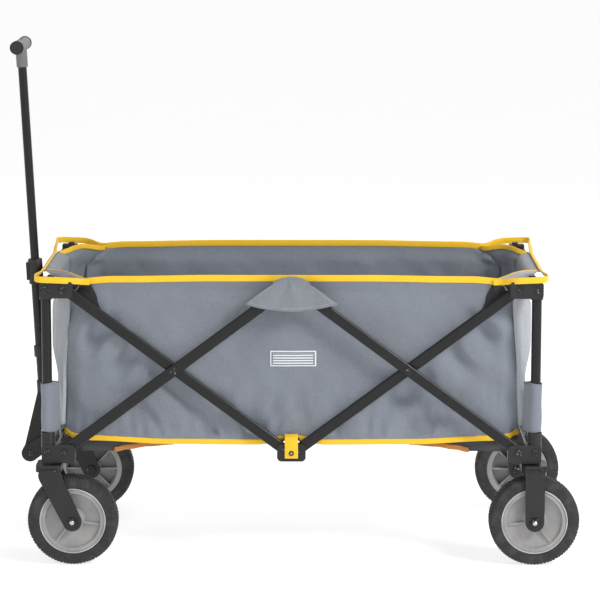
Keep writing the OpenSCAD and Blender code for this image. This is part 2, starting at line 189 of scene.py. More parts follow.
def weave(shader, pitch):
    """Height of a plain weave with this thread pitch, from the sheet's UVs, which are in metres."""
    split = shader.node("SeparateXYZ", {0: shader.coords.outputs["UV"]}).outputs
    turn = 2 * math.pi / pitch
    over = [shader.math("SINE", shader.math("MULTIPLY", split[i], turn)) for i in (0, 1)]
    return shader.math("MULTIPLY_ADD", shader.math("MULTIPLY", over[0], over[1]), 0.5, 0.5)


def cloth(name, colour, pitch=0.0011, shade=0.16):
    """Woven polyester: threads, a grain of mixed yarns and broad, faint differences of tone."""
    s = Shader(name, colour, 0.7, sheen_weight=0.25, specular_ior_level=0.35)
    threads = weave(s, pitch)
    patches = s.noise(9.0, 4)
    grain = s.noise(420.0, 2)
    wear = s.remap(patches, 0.3, 0.7, 1 - shade / 2, 1 + shade / 2)
    tone = s.blend(s.remap(grain, 0.35, 0.65, 0, 1), scaled(colour, 0.9), scaled(colour, 1.1))
    tone = s.blend(s.remap(threads, 0, 1, 0.0, 0.35), tone, scaled(colour, 0.72))
    s.set("Base Color", s.node("VectorMath", {0: tone, "Scale": wear}, operation="SCALE").outputs[0])
    s.set("Roughness", s.remap(patches, 0.3, 0.7, 0.62, 0.78))
    s.relief((s.noise(55.0, 4), 0.0012, 0.35), (threads, 0.0003, 0.5))
    return s.made


def striped_patch(name, colour, ground):
    """A woven patch: a border and four stripes on the cloth's own colour, placed by its UVs in metres."""
    s = Shader(name, colour, 0.8, specular_ior_level=0.25)
    along, high = s.node("SeparateXYZ", {0: s.coords.outputs["UV"]}).outputs[0:2]
    from_middle = s.math("ABSOLUTE", s.math("SUBTRACT", high, LABEL_H / 2 * MM))
    from_centre = s.math("ABSOLUTE", s.math("SUBTRACT", along, LABEL_W / 2 * MM))
    stripe = s.math("GREATER_THAN", s.math("SINE", s.math("MULTIPLY", high, 2 * math.pi / 0.0048)), 0.1)
    inner = s.math("MULTIPLY", s.math("LESS_THAN", from_middle, (LABEL_H / 2 - 4.6) * MM),
                   s.math("LESS_THAN", from_centre, (LABEL_W / 2 - 5.5) * MM))
    edge = s.math("MAXIMUM", s.math("GREATER_THAN", from_middle, (LABEL_H / 2 - 2.3) * MM),
                  s.math("GREATER_THAN", from_centre, (LABEL_W / 2 - 2.5) * MM))
    print_mask = s.math("MAXIMUM", edge, s.math("MULTIPLY", stripe, inner))
    worn = s.math("MULTIPLY", print_mask, s.remap(s.noise(160.0, 3), 0.3, 0.7, 0.86, 1.0))
    s.set("Base Color", s.blend(worn, ground, colour))
    threads = weave(s, 0.0009)
    s.set("Roughness", s.remap(print_mask, 0, 1, 0.85, 0.6))
    s.relief((threads, 0.0003, 0.4), (print_mask, 0.0002, 0.4))
    return s.made


def tape(name, colour):
    """Ribbed binding tape: fine ribs across it and a little soiling."""
    s = Shader(name, colour, 0.6, sheen_weight=0.2, specular_ior_level=0.3)
    along = s.node("SeparateXYZ", {0: s.coords.outputs["UV"]}).outputs[0]
    ribs = s.math("SINE", s.math("MULTIPLY", along, 2 * math.pi / 0.0016))
    soil = s.remap(s.noise(30.0, 4), 0.35, 0.75, 0, 0.5)
    tone = s.blend(s.remap(ribs, -1, 1, 0.0, 0.3), colour, scaled(colour, 0.78))
    s.set("Base Color", s.blend(soil, tone, tuple(c * f for c, f in zip(colour, (0.94, 0.84, 0.7)))))
    s.set("Roughness", s.remap(s.noise(80.0), 0.3, 0.7, 0.52, 0.7))
    s.relief((s.noise(70.0), 0.0006, 0.3), (ribs, 0.0002, 0.5))
    return s.made


def moulded(name, colour, roughness=0.5, grain=900.0, depth=0.00015, **sockets):
    """Moulded plastic with a fine spark-eroded texture and broad, faint patches."""
    s = Shader(name, colour, roughness, **sockets)
    fine = s.noise(grain, 2)
    broad = s.noise(22.0, 4)
    patches = s.remap(broad, 0.35, 0.7, 0, 1)
    s.set("Base Color", s.blend(patches, scaled(colour, 0.88), scaled(colour, 1.18)))
    s.set("Roughness", s.remap(broad, 0.3, 0.7, roughness - 0.07, roughness + 0.1))
    s.relief((s.noise(60.0), 0.0003, 0.2), (fine, depth, 0.5))
    return s.made


def powder_coat(name, colour):
    """Satin powder coat: a fine orange peel with faint rubbed patches."""
    s = Shader(name, colour, 0.3, specular_ior_level=0.32)
    rubbed = s.remap(s.noise(35.0, 5, 0.7), 0.58, 0.78, 0, 1)
    s.set("Base Color", s.blend(rubbed, colour, scaled(colour, 2.2)))
    s.set("Roughness", s.remap(s.noise(14.0, 4), 0.3, 0.7, 0.24, 0.4))
    s.relief((s.noise(650.0, 2), 0.00012, 0.5))
    return s.made


def zinc(name):
    """Zinc-plated steel, brushed along x."""
    s = Shader(name, (0.56, 0.56, 0.58), 0.3, metallic=1.0)
    brushed = s.noise(5.0, 4, vector=s.stretch((40, 400, 400)))
    s.set("Base Color", s.blend(s.remap(brushed, 0.3, 0.7, 0, 1), (0.4, 0.4, 0.42), (0.74, 0.74, 0.76)))
    s.set("Roughness", s.remap(brushed, 0.3, 0.7, 0.2, 0.42))
    s.relief((brushed, 0.0001, 0.4))
    return s.made


def blackened(name):
    """Blackened steel, with small bright specks painted into the colour as glints."""
    s = Shader(name, (0.03, 0.03, 0.031), 0.3, metallic=0.75)
    # Painted glints: sparse bright specks blended into the dark colour.
    painted_glints = s.remap(s.noise(260.0, 3, 0.7), 0.6, 0.68, 0, 0.8)
    s.set("Base Color", s.blend(painted_glints, (0.028, 0.028, 0.029), (0.5, 0.5, 0.51)))
    s.set("Roughness", s.remap(s.noise(60.0), 0.3, 0.7, 0.24, 0.42))
    s.relief((s.noise(180.0, 3), 0.0004, 0.5))
    return s.made


def rubber(name):
    """Dusty black rubber."""
    s = Shader(name, (0.03, 0.03, 0.031), 0.72, specular_ior_level=0.35)
    dust = s.remap(s.noise(45.0, 5, 0.65), 0.45, 0.75, 0, 1)
    s.set("Base Color", s.blend(dust, (0.026, 0.026, 0.027), (0.058, 0.057, 0.055)))
    s.set("Roughness", s.remap(s.noise(120.0), 0.3, 0.7, 0.62, 0.85))
    s.relief((s.noise(300.0, 3), 0.0002, 0.5))
    return s.made


CLOTH_BLUE = (0.2, 0.22, 0.258)
CLOTH = cloth("cloth_main", CLOTH_BLUE)
CLOTH_LIGHT = cloth("cloth_light", (0.4, 0.42, 0.455))
CLOTH_FLAP = cloth("cloth_flap", (0.205, 0.227, 0.25))
# Painted shade: a near-black cloth for the sheets laid where the side cloths lie in deep shade by the upper
# corners.
CLOTH_PAINTED_SHADE = cloth("cloth_black", (0.02, 0.021, 0.023))
CLOTH_DARK = cloth("cloth_dark", (0.055, 0.058, 0.064))
YELLOW = tape("binding_yellow", (0.93, 0.57, 0.02))
# Painted shade: the yellow binding darkened to orange-brown, for the ribbon under the floor, which lies in
# shadow.
YELLOW_PAINTED_SHADE = tape("binding_shaded", (0.5, 0.2, 0.045))
LABEL = striped_patch("label_white", (0.78, 0.79, 0.8), CLOTH_BLUE)
FRAME = powder_coat("frame_black", (0.009, 0.009, 0.0095))
PLASTIC = moulded("plastic_black", (0.018, 0.0175, 0.0175), 0.42, specular_ior_level=0.35)
STEEL = zinc("bolt_steel")
DARK_STEEL = blackened("dark_steel")
TYRE = rubber("tyre_black")
WHEEL = moulded("wheel_grey", (0.285, 0.28, 0.278), 0.45, grain=500.0)
# Painted highlight: a paler grey for the rim's lip, standing in for the bright line of light along its
# edge.
WHEEL_PAINTED_HIGHLIGHT = moulded("wheel_pale", (0.45, 0.45, 0.45), 0.35, grain=500.0)
GRIP = moulded("grip_grey", (0.15, 0.15, 0.152), 0.62, grain=700.0, depth=0.0003)


def slot_of(material):
    """The record's slot for a material made here."""
    shared = {
        YELLOW_PAINTED_SHADE: "binding_yellow",
        CLOTH_PAINTED_SHADE: "cloth_dark",
        CLOTH_FLAP: "cloth_main",
        DARK_STEEL: "bolt_steel",
        WHEEL_PAINTED_HIGHLIGHT: "wheel_grey",
    }
    return shared.get(material, material.name.removeprefix("look_"))


# ---------- mesh builders ----------


def added(name, data):
    made = bpy.data.objects.new(name, data)
    bpy.context.scene.collection.objects.link(made)
    return made


def piece(name, verts, faces, material, body, uvs=None, keep=None, replaces=()):
    """A new mesh piece that rides on a CAD body. uvs gives one pair in metres for each vertex.

    keep is given for a piece that folds up with the wagon, as the share of its length that is left when
    folded; here it only gives the piece a mesh of its own.
    """
    mesh = bpy.data.meshes.new(name)
    mesh.from_pydata([tuple(v) for v in verts], [], faces)
    mesh.validate()
    for polygon in mesh.polygons:
        polygon.use_smooth = True
    if uvs:
        layer = mesh.uv_layers.new(name="UVMap")
        for loop in mesh.loops:
            layer.data[loop.index].uv = uvs[loop.vertex_index]
    mesh.materials.append(material)
    made = added(name, mesh)
    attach(made, body)
    slot_of(material)
    if keep:
        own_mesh(made)
    if replaces:
        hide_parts(*replaces)
    return made


def mirrored(profile, side):
    """A (radius, along y) profile, turned to face out of the near or the far side."""
    return [(r, side * w) for r, w in profile]


def grid_faces(across, up, closed=False):
    """Faces of a grid of up + 1 rows, each with across + 1 points, or across points if it closes up."""
    row = across if closed else across + 1
    return [
        (j * row + i, j * row + (i + 1) % row, (j + 1) * row + (i + 1) % row, (j + 1) * row + i)
        for j in range(up)
        for i in range(across)
    ]


def sheet(name, across, up, point, size, material, body, thick=1.4, **extra):
    """A cloth sheet: point(u, v) gives a place in metres for u and v from 0 to 1; size is its cut in mm."""
    spots = [(i / across, j / up) for j in range(up + 1) for i in range(across + 1)]
    verts = [point(u, v) for u, v in spots]
    uvs = [(u * size[0] * MM, v * size[1] * MM) for u, v in spots]
    made = piece(name, verts, grid_faces(across, up), material, body, uvs, **extra)
    solid = made.modifiers.new("thickness", "SOLIDIFY")
    solid.thickness = thick * MM
    solid.offset = 0
    return made


def curve_through(points, steps):
    """A Catmull-Rom line through the points, with this many steps between neighbours."""
    pts = [2 * points[0] - points[1], *points, 2 * points[-1] - points[-2]]
    line = []
    for a, b, c, d in zip(pts, pts[1:], pts[2:], pts[3:]):
        for k in range(steps):
            t = k / steps
            line.append(0.5 * (2 * b + (c - a) * t + (2 * a - 5 * b + 4 * c - d) * t * t
                               + (3 * b - a - 3 * c + d) * t ** 3))
    return line + [points[-1].copy()]


def directions(path):
    """The way ahead at each point of a path."""
    last = len(path) - 1
    return [(path[min(i + 1, last)] - path[max(i - 1, 0)]).normalized() for i in range(last + 1)]


def rounded_box(width, thick, corner, steps=3):
    """Outline of a rounded rectangle, as (across the width, through the thickness) pairs."""
    outline = []
    for k, (sx, sy) in enumerate(((1, 1), (-1, 1), (-1, -1), (1, -1))):
        for i in range(steps + 1):
            a = math.pi / 2 * (k + i / steps)
            outline.append((sx * (width / 2 - corner) + corner * math.cos(a),
                            sy * (thick / 2 - corner) + corner * math.sin(a)))
    return outline


def sweep(name, path, outline, material, body, up=Vector((0, 0, 1)), **extra):
    """A closed solid swept along a path in metres. up is the way of the outline's width: one, or a list."""
    ups = up if isinstance(up, list) else [up] * len(path)
    verts, uvs, run = [], [], 0.0
    for i, (place, ahead, wide) in enumerate(zip(path, directions(path), ups)):
        run += (place - path[i - 1]).length if i else 0.0
        through = ahead.cross(wide).normalized()
        wide = through.cross(ahead).normalized()
        for k, (w, t) in enumerate(outline):
            verts.append(place + (wide * w + through * t) * MM)
            uvs.append((run, w * MM))
    n = len(outline)
    faces = [tuple(reversed(range(n))), tuple(range(len(verts) - n, len(verts)))]
    faces += grid_faces(n, len(path) - 1, closed=True)
    return piece(name, verts, faces, material, body, uvs, **extra)


def stitches(name, path, outward, material, body, pitch=4.6, length=3.0, radius=0.42, **extra):
    """A row of short thread dashes lying along a path, raised a little in the outward direction."""
    verts, faces, run, due = [], [], 0.0, 0.0
    across = Vector(outward)
    for a, b in zip(path, path[1:]):
        step = (b - a).length / MM
        if step < 1e-6:
            continue
        ahead = (b - a).normalized()
        lift = (across - ahead * across.dot(ahead)).normalized()
        beside = ahead.cross(lift)
        while due <= run + step:
            middle = a + ahead * (due - run) * MM
            base = len(verts)
            for t, r in ((-0.5, 0.2), (-0.36, 1), (0.36, 1), (0.5, 0.2)):
                for c, s in ((1, 0), (0, 1), (-1, 0), (0, -1)):
                    aside = (beside * c + lift * s) * radius * r
                    verts.append(middle + (ahead * length * t + aside) * MM)
            for j in range(3):
                for i in range(4):
                    k = base + 4 * j
                    faces.append((k + i, k + (i + 1) % 4, k + 4 + (i + 1) % 4, k + 4 + i))
            faces += [(base + 3, base + 2, base + 1, base), tuple(base + 12 + i for i in range(4))]
            due += pitch
        run += step
    return piece(name, verts, faces, material, body, **extra)


def turned(name, profile, steps, place, material, body, radial=None, **extra):
    """A closed ring or knob: the (radius, along y) profile turned about y at place, in mm.

    radial(angle, radius, along) is added to each radius.
    """
    verts = []
    for i in range(steps):
        a = 2 * math.pi * i / steps
        for r, w in profile:
            r += radial(a, r, w) if radial else 0.0
            verts.append((Vector((r * math.cos(a), w, r * math.sin(a))) + place) * MM)
    n = len(profile)
    faces = []
    for i in range(steps):
        j = (i + 1) % steps
        for k in range(n):
            m = (k + 1) % n
            faces.append((i * n + k, i * n + m, j * n + m, j * n + k))
    return piece(name, verts, faces, material, body, **extra)


# ---------- camera, light and stage ----------

CAMERA_PLACE = (0.0370, -4.9129, 1.2683)
CAMERA_PITCH = math.radians(9.426)
CAMERA_YAW = 0.0056
LENS = 158.9
LOOK_AT = Vector((0, 0, 0.3))
LAMPS = (  # name, place and size in metres, power in watts
    ("key", (2.7, -2.2, 2.7), 1.0, 112),
    ("fill", (-2.8, -2.2, 2.2), 1.2, 16),
    ("back", (0.6, 3.0, 3.0), 2.5, 45),
)
SKY_FADE = (0.3, 0.62, 1.0, 0.28)  # from and to this sine of the elevation, and the light at each
FLOOR_HALF = 30


def camera():
    eye = bpy.data.cameras.new("camera")
    eye.sensor_width = 36
    eye.lens = LENS
    made = added("camera", eye)
    made.location = CAMERA_PLACE
    made.rotation_euler = (math.pi / 2 - CAMERA_PITCH, 0, CAMERA_YAW)
    bpy.context.scene.camera = made


def sky():
    """White near the horizon, fading overhead so that surfaces facing up are not bleached."""
    world = bpy.data.worlds.new("studio")
    world.use_nodes = True
    tree = world.node_tree
    light = tree.nodes["Background"]
    light.inputs[0].default_value = (1, 1, 1, 1)
    coords = tree.nodes.new("ShaderNodeTexCoord")
    height = tree.nodes.new("ShaderNodeSeparateXYZ")
    fade = tree.nodes.new("ShaderNodeMapRange")
    for k, value in enumerate(SKY_FADE, 1):
        fade.inputs[k].default_value = value
    tree.links.new(coords.outputs["Generated"], height.inputs[0])
    tree.links.new(height.outputs[2], fade.inputs[0])
    tree.links.new(fade.outputs[0], light.inputs[1])
    bpy.context.scene.world = world
    bpy.context.scene.view_settings.view_transform = "Standard"


def lamps():
    for name, place, size, power in LAMPS:
        lamp = bpy.data.lights.new(name, "AREA")
        lamp.size = size
        lamp.energy = power
        made = added(name, lamp)
        made.location = place
        made.rotation_euler = (LOOK_AT - Vector(place)).to_track_quat("-Z", "Y").to_euler()


def ground():
    s = Shader("floor_pale", (0.5, 0.5, 0.5), 0.9, emission_color=(1, 1, 1, 1), emission_strength=0.72)
    s.set("Base Color", s.blend(s.noise(3.0), (0.48, 0.48, 0.48), (0.52, 0.52, 0.52)))
    mesh = bpy.data.meshes.new("floor")
    corners = [(x * FLOOR_HALF, y * FLOOR_HALF, 0) for x, y in ((-1, -1), (1, -1), (1, 1), (-1, 1))]
    mesh.from_pydata(corners, [], [(0, 1, 2, 3)])
    mesh.materials.append(s.made)
    floor = added("floor", mesh)


def studio():
    camera()
    sky()
    lamps()
    ground()


# ---------- carried-over CAD pieces ----------

# The material of each CAD piece that is shown as it is, and the rounding in mm of the moulded ones' edges.
KEPT = {
    FRAME: ["front_posts", "rear_posts", "front_inner_posts", "rear_inner_posts", "front_lower_crossbar",
            "rear_lower_crossbar", "front_upper_crossbar", "rear_upper_crossbar", "front_outer_bars",
            "front_inner_bars", "rear_outer_bars", "rear_inner_bars", "bottom_cross_tube",
            "handle_outer_tube", "handle_inner_tube"],
    PLASTIC: ["front_lower_brackets", "rear_lower_brackets", "front_upper_brackets", "rear_upper_brackets",
              "top_hubs", "bottom_hubs", "caster_fork_near", "caster_fork_far", "rear_forks",
              "handle_mount", "handle_link", "handle_clamp", "handle_clip", "handle_grip_caps"],
    DARK_STEEL: ["front_lower_bolts", "rear_lower_bolts", "front_upper_bolts", "rear_upper_bolts",
                 "front_cross_rivets", "rear_cross_rivets", "top_hub_rivets", "bottom_hub_rivets",
                 "caster_axle_near", "caster_axle_far", "rear_axles", "handle_pivot_pin"],
    WHEEL: ["front_hub_near", "front_hub_far", "rear_hub_near", "rear_hub_far"],
    GRIP: ["handle_grip"],
}
SOFT_EDGES = {"front_lower_brackets": 1.2, "rear_lower_brackets": 1.2, "front_upper_brackets": 1.2,
              "rear_upper_brackets": 1.2, "top_hubs": 0.8, "bottom_hubs": 0.8, "caster_fork_near": 1.0,
              "caster_fork_far": 1.0, "rear_forks": 1.0, "handle_mount": 1.2, "handle_link": 1.2,
              "handle_clamp": 0.8, "handle_clip": 0.8, "front_hub_near": 0.7, "front_hub_far": 0.7,
              "rear_hub_near": 0.7, "rear_hub_far": 0.7}


def soften(obj, width, segments):
    edge = obj.modifiers.new("edge", "BEVEL")
    edge.width = width * MM
    edge.segments = segments
    return edge


def finish_cad_pieces():
    for material, names in KEPT.items():
        for name in names:
            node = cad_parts[name]
            node.data.materials.clear()
            node.data.materials.append(material)
            if name in SOFT_EDGES:
                weld = node.modifiers.new("weld", "WELD")
                weld.merge_threshold = 0.00002
                edge = soften(node, SOFT_EDGES[name], 2)
                edge.limit_method = "ANGLE"
                edge.angle_limit = math.radians(38)
                edge.use_clamp_overlap = True


# ---------- cloth body ----------

BED_P = 415
RIM_P = 372
TRIM_P = 412
SIDE_W = 2 * BED_P
SIDE_H = TOP_Z - BASE_Z

# Tables for follow(): the half length at a height, then heights and depth at a distance from the middle.
EDGE_P = ((228, 415), (340, 411), (490, 402), (506, 386), (524, 367))
TRIM_Z = ((0, 229), (16, 227.5), (40, 222), (60, 220.5), (220, 221.5), (360, 228), (398, 231), (412, 239))
RIM_Z = ((0, 530), (120, 530), (290, 527.5), (350, 523), (372, 524), (400, 530))
RIM_Q = ((0, 196), (250, 195.5), (320, 193.4), (372, 193.4))
RIM_LIFT = {-1: 1, 1: 9}
WALL_SEED = {-1: 11.3, 1: 47.9}


def side_end_p(z):
    return follow(EDGE_P, z)


def rim_z(side, far):
    return follow(RIM_Z, far * 0.9) + RIM_LIFT[side]


def puckers(seed):
    """Gathers along the lower trim, as (middle, slant, half width, height)."""
    dice = random.Random(seed)
    return [
        (x + dice.uniform(-14, 14), dice.uniform(-0.5, 0.5), dice.uniform(6, 12), dice.uniform(2.2, 4.6))
        for x in range(-380, 381, 42)
    ]


PUCKERS = {-1: puckers(5), 1: puckers(8)}


def end_folds(x, z, turn):
    """Slanting pulls round the scissor bars and a tuck by the upper bracket, x from the middle outwards."""
    out = 10.5 * bump(x - (z - 400) * 0.75, 330, 75) * bump(z, 405, 110) * math.sin((x + z * 0.9) / 15)
    out += 8.5 * bump(x + (z - 330) * 0.4, 215, 100) * bump(z, 300, 90) * math.sin((x - z * 1.1) / 18)
    out += 3.4 * bump(x, 372, 45) * bump(z, 300, 120) * math.sin(z / 16 + 1.2 + turn)
    return out + 5.0 * bump(x + (528 - z) * 0.12, 352, 20) * smooth(330, 520, z)


def wall_folds(x, z, side):
    """How far the side cloth stands out, in mm, at x from the middle and height z."""
    seed = WALL_SEED[side]
    rise = z - BASE_Z
    up = rise / SIDE_H
    out = -2.5 * bump(x, 0, 430) * bump(up, 0.5, 0.62)
    low = smooth(0.42, 0.0, up)
    out += low * 10 * ripple(x, 40 + z * 0.2, 36, seed) * (1.15 - smooth(60, 330, abs(x)) * 0.3)
    out += low * 3.0 * ripple(x * 1.7, z * 0.5, 24, seed + 5)
    for end in (-1, 1):
        out += end_folds(x * end, z, seed * 0.7 + end)
    out += 4.5 * ripple(x, z, 95, seed + 2) + 1.6 * ripple(x + z * 0.6, z * 0.6, 34, seed + 3)
    gathered = smooth(0.3, 0.05, up)
    for middle, slant, half, height in PUCKERS[side]:
        out += height * bump(x - middle - slant * rise, 0, half + rise * 0.22) * gathered
    out = 1.3 * out - 2.5
    # The scissor bars, and when folded the upper brackets, pass close by: stay behind this, softly.
    clear = mix(2.0, -4.0, smooth(275, 325, abs(x)) * smooth(435, 480, z))
    out = clear - math.log(1 + math.exp(clear - out))
    return out * smooth(0, 0.05, up) * (1 - smooth(0.88, 1.0, up))


def side_point(side, u, v):
    """A place on the side cloth: u from the front to the rear, v from the lower edge to the rim."""
    x = (2 * u - 1) * BED_P
    z = mix(follow(TRIM_Z, abs(x)), rim_z(side, abs(x)), v)
    reach = side_end_p(z)
    x *= reach / BED_P
    far = abs(x)
    q = WALL_Q + wall_folds(x, z, side)
    q = mix(q, follow(RIM_Q, far), smooth(TOP_Z - 30, TOP_Z - 2, z))
    q -= 13 * smooth(reach - 30, reach + 3, far) * (1 - smooth(505, 525, z))
    return at(1 if x > 0 else -1, side, far, q, z)


def rim_path(side, out=0.0, drop=6.0):
    """Along the rim from front to rear, this far out from the cloth and below its edge."""
    path, steps = [], 72
    for i in range(steps + 1):
        x = mix(-RIM_P, RIM_P, i / steps)
        far = abs(x)
        path.append(at(1 if x > 0 else -1, side, far, follow(RIM_Q, far) + out, rim_z(side, far) - drop))
    return path


def bottom_path(side, out=0.0, rise=0.0):
    """Along the side cloth's lower edge, this far out from the cloth and above the edge."""
    path, steps = [], 96
    for i in range(steps + 1):
        z = follow(TRIM_Z, abs(mix(-TRIM_P, TRIM_P, i / steps)))
        place = side_point(side, i / steps, 0.0)
        place.y = side * (abs(place.y) + out * MM)
        place.z = (z + rise) * MM
        path.append(place)
    return path


def side_cloths():
    for name, side in SIDES:
        body = sheet("side_cloth_" + name, 220, 80, lambda u, v: side_point(side, u, v), (SIDE_W, SIDE_H),
                     CLOTH, "top_hub", keep=BED_KEEP, replaces=["side_panel_" + name])
        binding = sweep("rim_binding_" + name, rim_path(side), rounded_box(12, 3.4, 1.3), YELLOW,
                        "top_hub", keep=BED_KEEP)
        trim = sweep("lower_binding_" + name, bottom_path(side, rise=1.5), rounded_box(10, 3.2, 1.2),
                     YELLOW, "top_hub", keep=BED_KEEP)
        threads = (("rim_stitches_", rim_path(side, 1.75, 10.0)),
                   ("lower_stitches_", bottom_path(side, 1.65, 5.0)))
        rows = [stitches(kind + name, path, (0, side, 0), YELLOW, "top_hub", keep=BED_KEEP)
                for kind, path in threads]


# ---------- end cloths and corner webs ----------

# Tables for follow(): how far out the end cloth stands, and its half width, at a height.
WALL_P = ((228, 424), (340, 425), (400, 436), (465, 437), (497, 430), (512, 430))
FACET_Q = ((228, 189), (290, 188), (340, 174), (403, 152), (490, 126), (525, 115))
CROSSBAR_Z = 514


def end_point(end, u, v):
    """A place on the end cloth between its two webs: u from near to far, v up and over the crossbar."""
    across = 2 * u - 1
    if v < 0.9:
        z = mix(232 - 4 * bump(across, 0, 1), CROSSBAR_Z, v / 0.9)
        p = follow(WALL_P, z)
    else:
        t = (v - 0.9) / 0.1
        z = CROSSBAR_Z + 12 * math.sin(math.pi / 2 * min(1, t * 1.25)) - 2 * smooth(0.7, 1, t)
        p = mix(430, 455, smooth(0, 1, t))
    q = follow(FACET_Q, z) * across
    side = 1 if across > 0 else -1
    sway = bump(z, 370, 150) * (5 * bump(across, 0, 0.9) + 5 * ripple(q, z * 0.5, 42, 3.1 + end))
    sway += 4 * bump(z, 470, 60) * ripple(q, z * 0.3, 26, 14.2 + end)
    folds = smooth(330, 235, z) * 3 * ripple(q, 20, 30, 7.7 + end)
    sewn = 1 - smooth(0.8, 1.0, abs(across))
    return at(end, side, p + sway * sewn + folds * (1 - v), abs(q), z)


def web_point(end, side, u, v):
    """A place on a corner web: u from the side cloth to the end cloth, v from its foot to the rim."""
    lip = mix(520, 531, smooth(0, 0.5, u)) - 4 * smooth(0.6, 1, u) + (RIM_LIFT[side] - 1) * (1 - u)
    z = mix(252, lip, v)
    start = Vector((side_end_p(z) - 1, mix(WALL_Q - 12, 190, smooth(500, 524, z))))
    stop_p = follow(WALL_P, z) if z < 512 else mix(430, 452, smooth(512, 527, z))
    stop = Vector((stop_p, follow(FACET_Q, z)))
    place = start.lerp(stop, u)
    width = (stop - start).length
    bow = bump(u, 0.5, 0.5) * min(6.0, width * 0.08)
    normal = Vector((stop.y - start.y, start.x - stop.x)).normalized()
    place += normal * (-bow + 1.4 * bump(u, 0.5, 0.5) * math.sin(u * 9 + z / 40))
    return at(end, side, place.x, place.y, z)


def loop_path(end, side):
    """The rim's loop round the outside of a corner bracket."""
    spots = [(364, 198.6, 518.2), (378, 202, 519.5), (394, 217, 523), (408, 225.6, 525),
             (424, 226.8, 525.8), (444, 226.8, 526.5), (454, 224, 527), (460, 215, 527.5),
             (461, 200, 528), (459, 160, 527), (457, 118, 526)]
    rise = (RIM_LIFT[side] - 1) * MM
    path = curve_through([at(end, side, *spot) for spot in spots], 6)
    for place in path:
        place.z += rise * smooth(100, 190, abs(place.y) / MM)
    return path


def bracket_caps():
    """The raised moulding on top of each upper corner bracket, inside the rim's loop."""
    blocks = ((421, 451, 199, 220, 529), (427, 439, 202, 216, 533))
    for tag, name, end, side in CORNERS:
        for k, (p0, p1, q0, q1, top) in enumerate(blocks):
            outline = ((p0, q0), (p1, q0), (p1, q1), (p0, q1))
            corners = [at(end, side, p, q, z) for z in (521, top) for p, q in outline]
            faces = [(0, 1, 2, 3), (7, 6, 5, 4), (0, 4, 5, 1), (1, 5, 6, 2), (2, 6, 7, 3), (3, 7, 4, 0)]
            if end * side > 0:
                faces = [tuple(reversed(face)) for face in faces]
            cap = piece(f"bracket_cap_{tag}_{k}", corners, faces, PLASTIC, "upper_" + name)
            soften(cap, 2.6, 3)


def corner_web(tag, name, end, side):
    """A corner web, light outside and in the main colour inside."""
    faces_out = end * side < 0
    web = sheet("corner_web_" + tag, 14, 44, lambda u, v: web_point(end, side, u, v), (70, 300),
                CLOTH_LIGHT if faces_out else CLOTH, "upper_" + name)
    web.data.materials.append(CLOTH if faces_out else CLOTH_LIGHT)
    web.modifiers["thickness"].material_offset = 1
    return web


def corner_loop(tag, name, end, side):
    """The binding round the outside of a corner bracket, leaning over as it turns to the end."""
    loop = loop_path(end, side)
    ups = []
    for place in loop:
        turn = smooth(206, 150, abs(place.y) / MM)
        ups.append(Vector((-end * 0.75 * turn, 0, 1)).normalized())
    return sweep("corner_loop_" + tag, loop, rounded_box(11.5, 3, 1.2), YELLOW, "upper_" + name, up=ups)


def corner_edge(tag, name, end, side):
    """The binding along the top of a corner web, a little inside it."""
    edge, ups, steps = [], [], 28
    for k in range(steps + 1):
        top = web_point(end, side, k / steps, 1.0)
        ups.append((top - web_point(end, side, k / steps, 0.966)).normalized())
        edge.append(top + Vector((-end * 1.3, -side * 1.5, 0)) * MM - ups[-1] * 3.8 * MM)
    return sweep("corner_edge_" + tag, edge, rounded_box(9.5, 2.2, 1.0), YELLOW, "upper_" + name, up=ups)


def end_cloths():
    for name, end in ENDS:
        wall = sheet("end_cloth_" + name, 60, 50, lambda u, v: end_point(end, u, v), (370, 315), CLOTH,
                     "upper_" + name, replaces=[name + "_panel"])
        lip = [at(end, 1 if y > 0 else -1, 457, abs(y), 526) for y in range(-118, 119, 8)]
        tilt = Vector((-end * 0.75, 0, 0.66)).normalized()
        extras = [sweep("end_binding_" + name, lip, rounded_box(11, 3.4, 1.3), YELLOW, "upper_" + name,
                        up=tilt)]
        for side_name, side in SIDES:
            corner = (f"{name}_{side_name}", name, end, side)
            web = corner_web(*corner)
            extras.append(corner_loop(*corner))
            inner = corner_edge(*corner)


# ---------- sleeves, flaps, straps and label ----------


def sleeve_point(end, side, u, v):
    """A place on the sleeve: u from the web's inner layer round the post to its outer one, v upwards."""
    z = mix(246, 336, v)
    root = Vector((421 + 2 * v, 193))
    post = Vector((POST_P, POST_Q))
    radius = 10.9 + 0.5 * math.sin(v * 9 + side)
    away = (post - root).normalized()
    beside = Vector((-away.y, away.x))
    if u < 0.3 or u > 0.7:
        t = (u if u < 0.3 else 1 - u) / 0.3
        hand = -1 if u < 0.3 else 1
        turn = math.radians(100)
        start = root + beside * hand * 0.8
        stop = post + (away * math.cos(turn) + beside * hand * math.sin(turn)) * radius
        place = start.lerp(stop, t)
    else:
        turn = math.radians(mix(-100, 100, (u - 0.3) / 0.4))
        place = post + (away * math.cos(turn) + beside * math.sin(turn)) * radius
    return at(end, side, place.x, place.y, z + 1.2 * math.sin(u * 12 + side) * (2 * v - 1))


def sleeves():
    for tag, name, end, side in CORNERS:
        made = sheet("sleeve_" + tag, 48, 14, lambda u, v: sleeve_point(end, side, u, v), (100, 90), CLOTH,
                     "upper_" + name, replaces=[name + "_sleeves"])
        for percent in (5, 95):
            row = [sleeve_point(end, side, i / 60, percent / 100) for i in range(31, 60)]
            stitches(f"sleeve_hem_{tag}_{percent}", row, (0, side, 0), CLOTH_DARK,
                                 "upper_" + name, pitch=3.4, length=2.2, radius=0.7)


